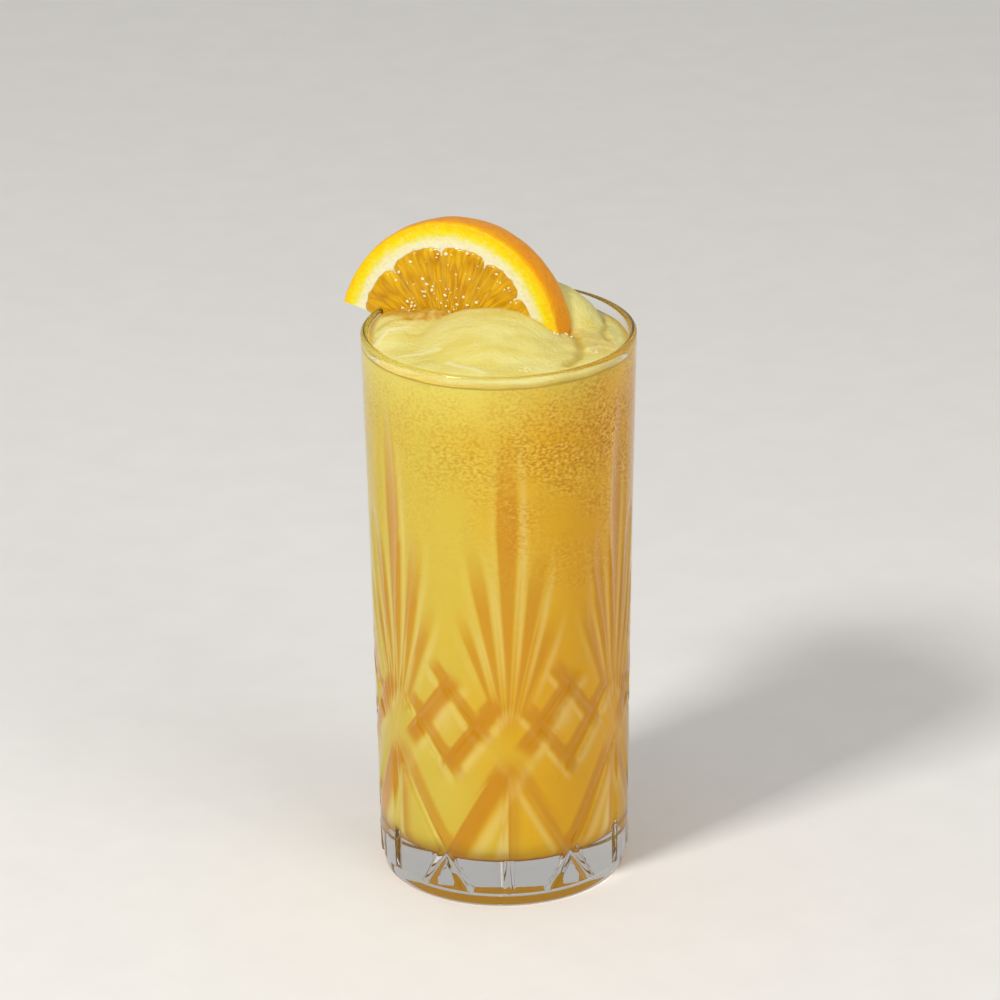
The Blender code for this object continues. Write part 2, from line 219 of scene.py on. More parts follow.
class SliceSettings(PropertyGroup):
    """Sizes and colours of the orange slice."""

    radius: FloatProperty(
        name="Radius", description="Outside radius of the slice", default=32.0 * MM, unit="LENGTH"
    )
    thickness: FloatProperty(
        name="Thickness", description="Front face to back face", default=10.3 * MM, unit="LENGTH"
    )
    flesh_radius: FloatProperty(
        name="Flesh Radius", description="Radius of the juicy middle", default=FLESH_RADIUS, unit="LENGTH"
    )
    peel_color: FloatVectorProperty(
        name="Peel", description="Outside of the peel", subtype="COLOR", default=linear("#f09000")
    )
    flesh_color: FloatVectorProperty(
        name="Flesh", description="Middle shade of the flesh", subtype="COLOR", default=linear("#d8a200")
    )


class StageSettings(PropertyGroup):
    """Light of the studio."""

    key_power: FloatProperty(
        name="Key Light", description="Power of the main light", default=14.0, unit="POWER"
    )
    fill_power: FloatProperty(
        name="Fill Light", description="Power of the soft light", default=6.3, unit="POWER"
    )
    sky: FloatProperty(name="Sky", description="Strength of the even light", default=0.42, min=0.0)


def add(tree, kind, inputs=(), stops=(), **settings):
    """Add one node with its settings and its (place, colour) stops, and set or link its inputs."""
    node = tree.nodes.new("ShaderNode" + kind)
    for name, value in settings.items():
        setattr(node, name, value)
    for name, value in dict(inputs).items():
        if isinstance(value, bpy.types.NodeSocket):
            tree.links.new(value, node.inputs[name])
        else:
            node.inputs[name].default_value = value
    for index, (place, color) in enumerate(stops):
        elements = node.color_ramp.elements
        element = elements[index] if index < 2 else elements.new(place)
        element.position = place
        element.color = color
    return node


def new_material(name, finish):
    """A material, its node tree and its Principled shader, which has the given finish."""
    made = bpy.data.materials.new(name)
    made.use_nodes = True
    tree = made.node_tree
    tree.nodes.clear()
    shader = add(tree, "BsdfPrincipled", finish)
    add(tree, "OutputMaterial", {"Surface": shader.outputs["BSDF"]})
    return made, tree, shader


def piece(bm, name, finish, node, sharp=None):
    """Make a mesh a piece of the object that rides on the glass's body."""
    mesh = bpy.data.meshes.new(name)
    bm.to_mesh(mesh)
    bm.free()
    mesh.shade_smooth()
    if sharp is not None:
        mesh.set_sharp_from_angle(angle=math.radians(sharp))
    mesh.materials.append(finish)
    made = bpy.data.objects.new(name, mesh)
    bpy.context.scene.collection.objects.link(made)
    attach(made, "root")
    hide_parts(node)
    return made


def apply_boolean(target, tools):
    """Cut every object of a collection away from a piece, and drop the tools."""
    boolean = target.modifiers.new("cuts", "BOOLEAN")
    boolean.operation = "DIFFERENCE"
    boolean.operand_type = "COLLECTION"
    boolean.collection = tools
    boolean.solver = "MANIFOLD"
    bpy.context.view_layer.objects.active = target
    bpy.ops.object.modifier_apply(modifier=boolean.name)
    for tool in list(tools.objects):
        bpy.data.objects.remove(tool)
    bpy.data.collections.remove(tools)


def new_tools(name):
    """A collection for cutting tools."""
    tools = bpy.data.collections.new(name)
    bpy.context.scene.collection.children.link(tools)
    return tools


def add_tool(tools, bm):
    """Keep a closed mesh as one cutting tool."""
    bmesh.ops.recalc_face_normals(bm, faces=bm.faces[:])
    mesh = bpy.data.meshes.new("tool")
    bm.to_mesh(mesh)
    bm.free()
    tools.objects.link(bpy.data.objects.new("tool", mesh))


def turn(bm, outline, segments, angle=math.tau):
    """Spin an outline of (x, z) points round the Z axis."""
    verts = [bm.verts.new((x, 0.0, z)) for x, z in outline]
    edges = [bm.edges.new(pair) for pair in zip(verts, verts[1:])]
    full = math.isclose(angle, math.tau)
    bmesh.ops.spin(
        bm,
        geom=verts + edges,
        cent=(0.0, 0.0, 0.0),
        axis=(0.0, 0.0, 1.0),
        angle=angle,
        steps=segments,
        use_merge=full,
    )
    bmesh.ops.remove_doubles(bm, verts=bm.verts[:], dist=0.005 * MM)
    if not full:
        rims = [edge for edge in bm.edges if edge.is_boundary]
        bmesh.ops.holes_fill(bm, edges=rims, sides=0)
    bmesh.ops.recalc_face_normals(bm, faces=bm.faces[:])


def outer_radius(glass, height):
    """Radius of the uncut wall at a height."""
    share = max(height, 0.0) / glass.height
    return glass.base_radius + glass.flare * share**1.35


def inner_radius(glass, height):
    """Radius of the hollow at a height."""
    share = 1.0 - height / glass.height
    return outer_radius(glass, height) - glass.rim_wall - glass.wall_growth * share


def arc_points(centre_x, centre_z, radius, start, end, steps):
    """Points (x, z) along an arc, with both ends."""
    points = []
    for step in range(steps + 1):
        angle = start + (end - start) * step / steps
        points.append((centre_x + radius * math.cos(angle), centre_z + radius * math.sin(angle)))
    return points


def hollow_profile(glass, inset, top, levels):
    """Outline of the hollow from a height on its wall down to the middle of its floor."""
    corner_z = glass.floor_height + glass.floor_corner
    points = []
    for level in range(levels):
        height = top + (corner_z - top) * level / levels
        points.append((inner_radius(glass, height) - inset, height))
    corner_x = inner_radius(glass, corner_z) - glass.floor_corner
    points += arc_points(corner_x, corner_z, glass.floor_corner - inset, 0.0, -math.pi / 2.0, 16)
    for share in (0.8, 0.6, 0.4, 0.2, 0.0):
        points.append((corner_x * share, glass.floor_height + inset))
    return points


def glass_profile(glass):
    """Outline of the glass, from the middle of its underside round the rim to the middle of its floor."""
    points = [(HEEL_RADIUS * share, 0.0) for share in (0.0, 0.3, 0.6, 0.85)]
    points += arc_points(HEEL_RADIUS - FOOT_ROUND, FOOT_ROUND, FOOT_ROUND, -0.5 * math.pi, 0.0, 8)
    fillet_x = HEEL_RADIUS + HEEL_FILLET
    fillet_end = math.acos((outer_radius(glass, HEEL_TOP + HEEL_FILLET) - fillet_x) / HEEL_FILLET)
    points += arc_points(fillet_x, HEEL_TOP, HEEL_FILLET, math.pi, fillet_end, 8)
    crease_z = points[-1][1]
    lip_z = glass.height - LIP_RADIUS
    levels = 60
    for level in range(1, levels + 1):
        height = crease_z + (lip_z - crease_z) * level / levels
        points.append((outer_radius(glass, height), height))
    points += arc_points(outer_radius(glass, lip_z) - LIP_RADIUS, lip_z, LIP_RADIUS, 0.0, math.pi, 14)[1:]
    points += hollow_profile(glass, 0.0, lip_z, 24)[1:]
    return points


def rolled(glass, along, height, depth):
    """Place of a point given along the unrolled wall, up it and below its surface."""
    angle = FIRST_FAN + along / ROLL_RADIUS
    radius = outer_radius(glass, height) - depth
    return Vector((radius * math.sin(angle), -radius * math.cos(angle), height))


def cut_tool(glass, tools, start, way, first, last, shape, cells, pinch=1.0):
    """Make the tool of one cut: a grid laid along the cut's bottom, thickened out of the wall.

    shape gives (half width, depth at a share across) for a distance along the cut, and a pinch over 1 draws
    the grid's rows together along its middle.
    """
    steps = max(6, int((last - first) / (1.6 * MM)))
    bm = bmesh.new()
    bmesh.ops.create_grid(bm, x_segments=cells, y_segments=steps, size=1.0)
    way = Vector(way).normalized()
    for vert in bm.verts:
        distance = first + (last - first) * 0.5 * (vert.co.y + 1.0)
        half, depth_at = shape(distance)
        across = math.copysign(abs(vert.co.x) ** pinch, vert.co.x) * half
        spot = Vector(start) + way * distance
        vert.co = rolled(glass, spot.x + way.y * across, spot.y - way.x * across, depth_at(across))
    lifted = bmesh.ops.extrude_face_region(bm, geom=bm.faces[:])["geom"]
    for vert in lifted:
        if isinstance(vert, bmesh.types.BMVert):
            share = (outer_radius(glass, vert.co.z) + 2.5 * MM) / math.hypot(vert.co.x, vert.co.y)
            vert.co.x *= share
            vert.co.y *= share
    add_tool(tools, bm)


def notch_shape(depth_along):
    """V section with a softened bottom, whose depth follows the cut."""
    soft = 0.26 * MM

    def shape(distance):
        depth = depth_along(distance)
        half = CUT_SLOPE * math.sqrt((depth + CUT_CLEAR + soft) ** 2 - soft * soft)
        return half, lambda across: depth + soft - math.hypot(soft, across / CUT_SLOPE)

    return shape


def flute_shape(glass, length, widest):
    """Hollow section that widens up to a place, and then runs out to a rounded tip."""
    full_half = FLUTE_SPREAD * widest
    full_depth = glass.flute_depth * full_half

    def shape(distance):
        if distance < widest:
            half_width = FLUTE_SPREAD * distance
            depth = glass.flute_depth * half_width
            curve = depth / half_width**2
        else:
            share = (distance - widest) / (length - widest)
            depth = full_depth * (1.0 - share * share)
            curve = full_depth / full_half**2
        half = math.sqrt((depth + CUT_CLEAR) / curve)
        return half, lambda across: depth - curve * across * across

    return shape


def cut_fan(glass, tools, middle):
    """Five hollow flutes above a fan's centre, and an upright and two slanting cuts below it."""
    start = (middle, FAN_CENTRE_Z)
    for degrees, length, widest in zip(FLUTE_ANGLES, FLUTE_LENGTHS, FLUTE_WIDEST):
        lean = math.radians(degrees)
        way = (math.sin(lean), math.cos(lean))
        shape = flute_shape(glass, length, widest)
        cut_tool(glass, tools, start, way, 2.5 * MM, length + 1.5 * MM, shape, 16)
    drop = FAN_CENTRE_Z - CUT_END_Z
    slant = 0.5 * FAN_SPACING / (FAN_CENTRE_Z - SLANT_CROSSING_Z)
    for side, scale in ((0.0, 1.06), (-1.0, 1.0), (1.0, 0.96)):
        length = drop * math.hypot(1.0, side * slant)
        full = glass.cut_depth * scale

        def depth_along(distance, full=full, length=length):
            return full * min(1.0, 0.05 + 2.6 * distance / length) - 0.02 * MM

        way = (side * slant, -1.0)
        cut_tool(glass, tools, start, way, 0.6 * MM, length, notch_shape(depth_along), 12, 1.8)


def cut_diamond(glass, tools, middle):
    """Four crossing V cuts that frame a diamond."""
    half = 0.5 * DIAMOND_CUT_LENGTH
    for across, up in ((-1, 1), (1, 1), (1, -1), (-1, -1)):
        way = Vector((-DIAMOND_HALF_WIDTH * across * up, DIAMOND_HALF_HEIGHT)).normalized()
        spot = Vector((middle, DIAMOND_CENTRE_Z))
        spot += Vector((across * DIAMOND_HALF_WIDTH, up * DIAMOND_HALF_HEIGHT)) * 0.5
        full = glass.cut_depth * (0.88 if across * up > 0 else 0.94)

        def depth_along(distance, full=full):
            return full * (1.0 - (distance / half) ** 4)

        end = half + 0.4 * MM
        cut_tool(glass, tools, spot, way, -end, end, notch_shape(depth_along), 12, 1.8)


def crystal(tint):
    """Pressed crystal glass, fire polished: clear, with sharp reflections.

    Shadow rays pass straight through, so that light reaches the drink. The reflections are tinted warm, which
    holds back the cool floor that the wall mirrors.
    """
    made, tree, shader = new_material(
        "Pressed_Crystal",
        {
            "Base Color": (*tint, 1.0),
            "Roughness": 0.0,
            "IOR": 1.52,
            "Specular Tint": rgba("#fff6c4"),
            "Transmission Weight": 1.0,
        },
    )
    clear = add(tree, "BsdfTransparent", {"Color": (*tint, 1.0)})
    shadow = add(tree, "LightPath").outputs["Is Shadow Ray"]
    mix = add(tree, "MixShader", {0: shadow, 1: shader.outputs["BSDF"], 2: clear.outputs["BSDF"]})
    tree.links.new(mix.outputs["Shader"], tree.get_output_node("ALL").inputs["Surface"])
    return made


class SMOOTHIE_OT_glass(Operator):
    """Turn the glass and cut its pattern"""

    bl_idname = "smoothie.glass"
    bl_label = "Build Glass"

    def execute(self, context):
        glass = context.scene.smoothie_glass
        bm = bmesh.new()
        turn(bm, glass_profile(glass), glass.segments)
        body = piece(bm, "cut_glass", crystal(tuple(glass.tint)), "glass")
        tools = new_tools("cuts")
        for index in range(FAN_COUNT):
            cut_fan(glass, tools, index * FAN_SPACING)
            cut_diamond(glass, tools, (index + 0.5) * FAN_SPACING)
        apply_boolean(body, tools)
        body.data.shade_smooth()
        body.data.set_sharp_from_angle(angle=math.radians(38.0))
        return {"FINISHED"}


def heap_height(x, y, heap):
    """Height of one rounded heap, 0 outside it."""
    centre_x, centre_y, half_long, half_wide, height = heap
    long_x, long_y = math.cos(SLICE_YAW), -math.sin(SLICE_YAW)
    dx, dy = x - centre_x, y - centre_y
    along = (dx * long_x + dy * long_y) / half_long
    aside = (dx * -long_y + dy * long_x) / half_wide
    return height * max(0.0, 1.0 - along * along - aside * aside)


def smooth_max(first, second, blend):
    """Larger of two heights, rounded where they meet."""
    nearness = max(0.0, blend - abs(first - second)) / blend
    return max(first, second) + 0.25 * blend * nearness * nearness


def distance_to_path(x, y, path):
    """Distance from a place to the nearest stretch of a path of points in millimetres."""
    spot = Vector((x, y))
    nearest = 1.0
    for start, end in zip(path, path[1:]):
        first, last = Vector(start) * MM, Vector(end) * MM
        span = last - first
        share = min(1.0, max(0.0, (spot - first).dot(span) / span.length_squared))
        nearest = min(nearest, (spot - first - span * share).length)
    return nearest


def fold_height(x, y):
    """Height of the folds and creases of the open top, whose lines wander a little."""
    wander = [0.35 * MM * noise.noise(Vector((x, y, layer * MM)) / (4.0 * MM)) for layer in (45.2, 111.6)]
    height = 0.0
    for path, rise, width in FOLDS:
        share = distance_to_path(x + wander[0], y + wander[1], path) / width
        if share < 3.0:
            height += rise * math.exp(-share * share)
    return height


def wall_level(drink, x, y):
    """Height of the froth where it clings to the wall: uneven, and higher beside the slice."""
    beside = (Vector((x, y)) - Vector(CLING_PLACE)).length / (13.0 * MM)
    uneven = noise.noise(Vector((x, y, 0.2)) / (7.0 * MM)) * 0.35 * MM
    return drink.level + uneven + 2.3 * MM * math.exp(-beside * beside)


def fill_height(drink, edge, x, y):
    """Height of the drink's top at a place in the glass."""
    share = math.hypot(x, y) / edge
    top = drink.dome * max(0.0, 1.0 - share**4)
    for heap in (FRONT_HEAP, BACK_HEAP, LEFT_HEAP, SADDLE_HEAP):
        top = smooth_max(top, heap_height(x, y, heap), HEAP_BLEND)
    fade = min(1.0, max(0.0, (1.0 - share) / FILL_EDGE))
    ripple = noise.noise(Vector((x, y, 0.0)) / (9.0 * MM)) * 0.4 * MM
    ripple += noise.noise(Vector((x, y, 0.3)) / (3.2 * MM)) * 0.16 * MM
    ripple += noise.noise(Vector((x * 0.6, y, 0.9)) / (1.3 * MM)) * 0.06 * MM
    ripple += fold_height(x, y)
    cling = wall_level(drink, x, y) - drink.level
    return drink.level + cling * max(0.0, share * 3.0 - 2.0) + (top + ripple) * fade * (2.0 - fade)


def slice_gap(x, y, height):
    """Distance of a place in front of the slice's front face."""
    face = slice_matrix().to_3x3() @ Vector((0.0, 0.0, 1.0))
    return (Vector((x, y, height)) - SLICE_CENTRE).dot(face)


def step_between(low, high, value):
    """0 below low, 1 above high, and a smooth climb between."""
    share = min(1.0, max(0.0, (value - low) / (high - low)))
    return share * share * (3.0 - 2.0 * share)


def band(value, start, rise, end, fall):
    """1 from start to end, with soft edges that are rise and fall wide."""
    return step_between(start - 0.5 * rise, start + 0.5 * rise, value) * (
        1.0 - step_between(end - 0.5 * fall, end + 0.5 * fall, value)
    )


def line(value, middle, width):
    """Soft bright line round a place."""
    return math.exp(-(((value - middle) / width) ** 2))


def fan_light(s, z):
    """Amber shade and pale light that one fan throws on the drink, in millimetres from its centre."""
    amber = bright = 0.0
    for degrees, length, widest in zip(FLUTE_ANGLES, FLUTE_LENGTHS, FLUTE_WIDEST):
        lean = math.radians(1.2 * degrees)
        along = s * math.sin(lean) + z * math.cos(lean)
        across = s * math.cos(lean) - z * math.sin(lean) - 0.5
        length, widest = length / MM, widest / MM
        if along < 3.0 or along > length + 2.0:
            continue
        half = FLUTE_SPREAD * min(along, widest)
        if along > widest:
            half *= math.sqrt(max(0.02, 1.0 - ((along - widest) / (length - widest)) ** 2))
        ends = 1.0 - step_between(0.62 * length, length + 1.0, along)
        inside = band(across, -0.68 * half, 0.8, 0.68 * half, 1.3)
        amber = max(amber, 0.8 * inside * ends * step_between(2.0, 14.0, along))
        ridge = 0.4 * line(across, -0.68 * half - 1.2, 0.8) + line(across, 0.68 * half + 1.5, 0.9)
        bright = max(bright, 0.42 * ridge * ends * step_between(8.0, 30.0, along))
    if z < 1.0:
        fade = step_between(-1.0, 8.0, -z)
        upright = band(s, 0.2, 0.5, 2.8, 4.6)
        amber = max(amber, 0.8 * upright * fade)
        wedge = band(s, -0.4 + 0.24 * min(0.0, z + 17.0), 2.0, -0.2, 0.6)
        bright = max(bright, 0.6 * wedge * step_between(15.0, 26.0, -z))
        slant = 0.5 * FAN_SPACING / (FAN_CENTRE_Z - SLANT_CROSSING_Z)
        norm = math.hypot(1.0, slant)
        rising = (s - slant * z) / norm
        falling = (s + slant * z) / norm
        amber = max(amber, band(rising, -1.4, 1.2, 5.2, 2.8) * fade)
        amber = max(amber, 0.7 * band(falling, -2.2, 1.4, 2.4, 2.0) * fade)
        bright = max(bright, 0.35 * line(falling, -3.6, 1.0) * fade)
        bright = max(bright, 0.4 * line(rising, 7.6, 1.6) * fade)
    return amber, bright


def diamond_light(s, z):
    """Amber shade and pale light that one diamond throws on the drink, in millimetres from its centre."""
    amber = bright = 0.0
    wide, tall = DIAMOND_HALF_WIDTH / MM, DIAMOND_HALF_HEIGHT / MM
    norm = math.hypot(wide, tall)
    half = 0.5 * DIAMOND_CUT_LENGTH / MM
    rows = (
        (1.0, 1.0, (-1.6, 1.2, 4.2, 2.0), (5.8, 1.3)),
        (-1.0, 0.85, (-2.5, 1.2, 2.2, 1.4), (-3.6, 0.8)),
    )
    for side in (-1.0, 1.0):
        for way, weight, shade, shine in rows:
            along = (way * s * wide + z * tall + 0.5 * side * (tall * tall - wide * wide)) / norm
            across = (s * tall - way * z * wide + side * wide * tall) / norm
            ends = 1.0 - step_between(0.7 * half, half, abs(along))
            amber = max(amber, weight * band(across, *shade) * ends)
            bright = max(bright, 0.4 * line(across, *shine) * ends)
    pane = math.exp(-(((s + 1.5) / 3.4) ** 2) - ((z - 2.0) / 4.4) ** 2)
    return amber, max(bright, 0.55 * pane)


def cut_light(angle, height):
    """Painted amber shade and painted pale light that the cuts throw on the drink, at an angle round it and a
    height.
    """
    spacing = FAN_SPACING / MM
    s = (((angle - FIRST_FAN) * ROLL_RADIUS / MM + 0.5 * spacing) % spacing) - 0.5 * spacing
    z = height / MM
    amber = bright = 0.0
    for shift in (-spacing, 0.0, spacing):
        shade, shine = fan_light(s + shift, z - FAN_CENTRE_Z / MM)
        amber, bright = max(amber, shade), max(bright, shine)
    for shift in (-0.5 * spacing, 0.5 * spacing):
        shade, shine = diamond_light(s + shift, z - DIAMOND_CENTRE_Z / MM)
        amber, bright = max(amber, shade), max(bright, shine)
    return amber, bright * (1.0 - 0.8 * amber)


def painted_side_shade(place):
    """Painted shade: share of deeper amber in the drink, more of it on the right, away from the key light,
    and low down, broken into soft uneven clouds of tone.
    """
    cloud = noise.noise(place / (22.0 * MM)) * 0.3 + noise.noise(place / (8.0 * MM)) * 0.12
    right = place.x / (34.0 * MM)
    low = 1.0 - place.z / (150.0 * MM)
    return step_between(-0.45, 0.95, right + 0.35 * low + cloud)


def pulp_specks(tree, place, height, juice):
    """Shares of dark pulp and of pale froth in the specks that cling to the wall near the top."""
    flat = add(tree, "Mapping", {"Vector": place, "Scale": (1.0, 1.0, 1.6)}).outputs["Vector"]
    pulp = add(tree, "TexNoise", {"Vector": flat, "Scale": 1.0 / PULP_SPECK, "Detail": 5.0}).outputs["Fac"]
    spread = add(tree, "TexNoise", {"Vector": place, "Scale": 1.0 / PULP_PATCH, "Detail": 3.0}).outputs["Fac"]
    zone = add(tree, "MapRange", {"Value": height, "From Min": 70.0 * MM, "From Max": 150.0 * MM})
    black, grey, white = (rgba(code) for code in ("#000000", "#b0b0b0", "#ffffff"))
    stops = ((0.0, black), (0.5, grey), (0.75, white), (1.0, grey))
    patch = add(tree, "ValToRGB", {"Fac": zone.outputs["Result"]}, stops).outputs["Color"]
    drift = add(tree, "MapRange", {"Value": spread, "From Min": 0.26, "From Max": 0.6})
    # The specks thicken towards the painted side shade.
    toward_shade = add(tree, "MapRange", {"Value": juice, "To Min": 0.4, "To Max": 1.05}, clamp=False)
    for share in (drift, toward_shade):
        product = add(tree, "Math", {0: patch, 1: share.outputs["Result"]}, operation="MULTIPLY")
        patch = product.outputs["Value"]
    shares = []
    for low, high in ((0.48, 0.6), (0.46, 0.3)):
        speck = add(tree, "MapRange", {"Value": pulp, "From Min": low, "From Max": high}).outputs["Result"]
        share = add(tree, "Math", {0: speck, 1: patch}, operation="MULTIPLY", use_clamp=True)
        shares.append(share.outputs["Value"])
    return shares


def blended_fruit(body):
    """Blended citrus against the glass: opaque, hardly glossy, with a painted glow on its underside, an
    emission for the light the base sends up.
    """
    made, tree, shader = new_material(
        "Blended_Citrus",
        {
            # Colour of the painted glow on the drink's underside
            "Emission Color": rgba("#e0a81c"),
            "Roughness": 0.6,
            "IOR": 1.36,
            "Specular IOR Level": 0.08,
            "Subsurface Weight": 0.3,
            "Subsurface Radius": (1.0, 0.7, 0.2),
            "Subsurface Scale": 2.0 * MM,
        },
    )
    place = add(tree, "TexCoord").outputs["Object"]
    height = add(tree, "SeparateXYZ", {"Vector": place}).outputs["Z"]
    cuts = add(tree, "Attribute", attribute_name="cut_light").outputs["Vector"]
    # The third mark, named juice, is painted side shade: pale yellow on the lit left, deeper amber on the
    # right and low down.
    amber, bright, juice = add(tree, "SeparateXYZ", {"Vector": cuts}).outputs
    stops = ((0.0, rgba("#d6bf44")), (0.35, rgba("#d8b630")), (0.7, rgba("#dcac0a")), (1.0, (*body, 1.0)))
    color = add(tree, "ValToRGB", {"Fac": juice}, stops).outputs["Color"]
    near_top = add(tree, "MapRange", {"Value": height, "From Min": 134.0 * MM, "From Max": 148.5 * MM})
    frothy = add(tree, "MapRange", {"Value": juice, "From Min": 0.1, "To Min": 0.9, "To Max": 0.25})
    both = {0: near_top.outputs["Result"], 1: frothy.outputs["Result"]}
    top = add(tree, "Math", both, operation="MULTIPLY").outputs["Value"]
    dark, pale = pulp_specks(tree, place, height, juice)
    # Painted shade low down: deeper amber towards the floor of the glass, and a dark brown edge at the
    # drink's foot.
    low = add(tree, "MapRange", {"Value": height, "From Min": 15.5 * MM, "From Max": 11.2 * MM})
    bottom = add(tree, "MapRange", {"Value": height, "From Min": 12.8 * MM, "From Max": 11.7 * MM})
    # The amber and bright coats are the painted shade and painted light of the cuts.
    coats = (
        (amber, "#cc8e00"),
        (bright, "#e8d488"),
        (top, "#e0d264"),
        (dark, "#b87600"),
        (pale, "#e4d074"),
        (low.outputs["Result"], "#c98c00"),
        (bottom.outputs["Result"], "#8e5604"),
    )
    for share, code in coats:
        color = add(tree, "Mix", {0: share, 6: color, 7: rgba(code)}, data_type="RGBA").outputs[2]
    tree.links.new(color, shader.inputs["Base Color"])
    # Painted glow: the underside emits, standing in for the light that the thick base gathers.
    under = {"Value": height, "From Min": 11.25 * MM, "From Max": 11.05 * MM, "To Max": 0.34}
    painted_glow = add(tree, "MapRange", under)
    tree.links.new(painted_glow.outputs["Result"], shader.inputs["Emission Strength"])
    return made


def citrus_foam(foam):
    """Froth of blended citrus: pale, fine and moist, amber where juice from the slice has wetted it, with
    painted shade in its creases and painted light on its fold ridges.
    """
    made, tree, shader = new_material(
        "Citrus_Froth",
        {
            "Roughness": 0.32,
            "IOR": 1.36,
            "Specular IOR Level": 0.35,
            "Subsurface Weight": 0.25,
            "Subsurface Radius": (1.0, 0.75, 0.3),
            "Subsurface Scale": 1.0 * MM,
        },
    )
    place = add(tree, "TexCoord").outputs["Object"]
    pulled = {"Vector": place, "Rotation": (0.0, 0.0, SLICE_YAW), "Scale": (0.5, 1.6, 1.0)}
    drawn = add(tree, "Mapping", pulled).outputs["Vector"]
    cloud = add(tree, "TexNoise", {"Vector": drawn, "Scale": 1.0 / FROTH_CLOUD, "Detail": 6.0}).outputs["Fac"]
    stops = ((0.35, rgba("#dfce6a")), (0.65, (*foam, 1.0)))
    color = add(tree, "ValToRGB", {"Fac": cloud}, stops).outputs["Color"]
    marks = add(tree, "Attribute", attribute_name="froth_marks").outputs["Vector"]
    wet, lip, crease_shade_and_wall_edge = add(tree, "SeparateXYZ", {"Vector": marks}).outputs
    # Painted shade in the creases with a darker edge at the wall, painted light on the fold ridges, then
    # wetted amber.
    for share, code in ((crease_shade_and_wall_edge, "#bea036"), (lip, "#f2ebc4"), (wet, "#c8921c")):
        color = add(tree, "Mix", {0: share, 6: color, 7: rgba(code)}, data_type="RGBA").outputs[2]
    tree.links.new(color, shader.inputs["Base Color"])
    grain = add(tree, "TexNoise", {"Vector": place, "Scale": 1.0 / FROTH_GRAIN, "Detail": 5.0}).outputs["Fac"]
    bump = add(tree, "Bump", {"Height": grain, "Strength": 0.7, "Distance": 0.5 * MM})
    tree.links.new(bump.outputs["Normal"], shader.inputs["Normal"])
    return made


class SMOOTHIE_OT_drink(Operator):
    """Fill the glass with the smoothie"""

    bl_idname = "smoothie.drink"
    bl_label = "Build Smoothie"

    def execute(self, context):
        glass = context.scene.smoothie_glass
        drink = context.scene.smoothie_drink
        join = drink.level - 0.6 * MM
        self.build_body(glass, drink, join)
        self.build_top(glass, drink, join)
        self.build_bubbles(glass, drink)
        return {"FINISHED"}

    def build_body(self, glass, drink, join):
        """Drink behind the glass, with the shade and light that the cuts throw on it painted into its colour.
        """
        outline = hollow_profile(glass, -WALL_REACH, join, 170)
        bm = bmesh.new()
        turn(bm, [(0.0, join - 3.0 * MM)] + outline, DRINK_SEGMENTS)
        layer = bm.verts.layers.float_vector.new("cut_light")
        known = {}
        sector = DRINK_SEGMENTS // FAN_COUNT
        for vert in bm.verts:
            angle = math.atan2(vert.co.x, -vert.co.y)
            key = (round(angle / math.tau * DRINK_SEGMENTS) % sector, round(vert.co.z * 1e6))
            if key not in known:
                known[key] = cut_light(angle, vert.co.z)
            vert[layer] = (*known[key], painted_side_shade(vert.co))
        piece(bm, "smoothie_body", blended_fruit(drink.shaded_body_color), "smoothie", 60)

    def build_top(self, glass, drink, join):
        """Froth: the open top with its heaps and folds, and its edge down the wall."""
        edge = inner_radius(glass, drink.level) + WALL_REACH
        rings = 100
        outline = [(edge * ring / rings, drink.level) for ring in range(rings + 1)]
        for share in (0.33, 0.67, 1.0):
            height = drink.level + (join - drink.level) * share
            outline.append((inner_radius(glass, height) + WALL_REACH, height))
        outline.append((0.0, join - 2.0 * MM))
        bm = bmesh.new()
        turn(bm, outline, DRINK_SEGMENTS)
        layer = bm.verts.layers.float_vector.new("froth_marks")
        for vert in bm.verts:
            x, y = vert.co.x, vert.co.y
            # Darker edge of froth along the wall, carried in the same mark as the painted crease shade.
            rim = step_between(edge - 2.6 * MM, edge - 0.2 * MM, math.hypot(x, y))
            vert[layer] = (0.0, 0.0, rim)
            if abs(vert.co.z - drink.level) < 0.01 * MM:
                vert.co.z = fill_height(drink, edge, x, y)
                fold = fold_height(x, y) / MM
                gap = slice_gap(x, y, vert.co.z) / MM + noise.noise(vert.co / (2.0 * MM)) * 0.8
                streak = 0.75 + 0.5 * noise.noise(vert.co / (1.5 * MM))
                reach = 7.6 - 5.8 * step_between(-20.0, -8.0, x / MM)
                faint = 1.0 - 0.7 * step_between(-10.0, 2.0, x / MM)
                wet = streak * faint * band(gap, -9.0, 1.0, reach, 2.6)
                beside = (vert.co.xy - Vector(CLING_PLACE)).length / (8.0 * MM)
                wet = max(wet, rim * math.exp(-beside * beside))
                # Second mark: painted light along the ridges of the rising folds.
                lip = min(1.0, max(0.0, fold * 2.4 - 0.1))
                # Third mark: painted shade down the creases, and the darker edge at the wall.
                vert[layer] = (min(1.0, wet), lip, max(rim, min(1.0, -fold)))
        piece(bm, "smoothie_froth", citrus_foam(drink.foam_color), "smoothie", 60)

    def build_bubbles(self, glass, drink):
        """Tiny bubbles that stand on the froth in loose clusters."""
        draw = Random(3)
        edge = inner_radius(glass, drink.level) + WALL_REACH
        bm = bmesh.new()
        for middle, spread, count in BUBBLES:
            for step in range(count):
                x, y = (draw.gauss(value, 0.5 * spread) * MM for value in middle)
                size = draw.uniform(0.14, 0.34) * MM
                made = bmesh.ops.create_icosphere(bm, subdivisions=2, radius=size)["verts"]
                height = fill_height(drink, edge, x, y) + 0.2 * size
                bmesh.ops.translate(bm, vec=(x, y, height), verts=made)
        piece(bm, "froth_bubbles", pale_bead_finish(), "smoothie")


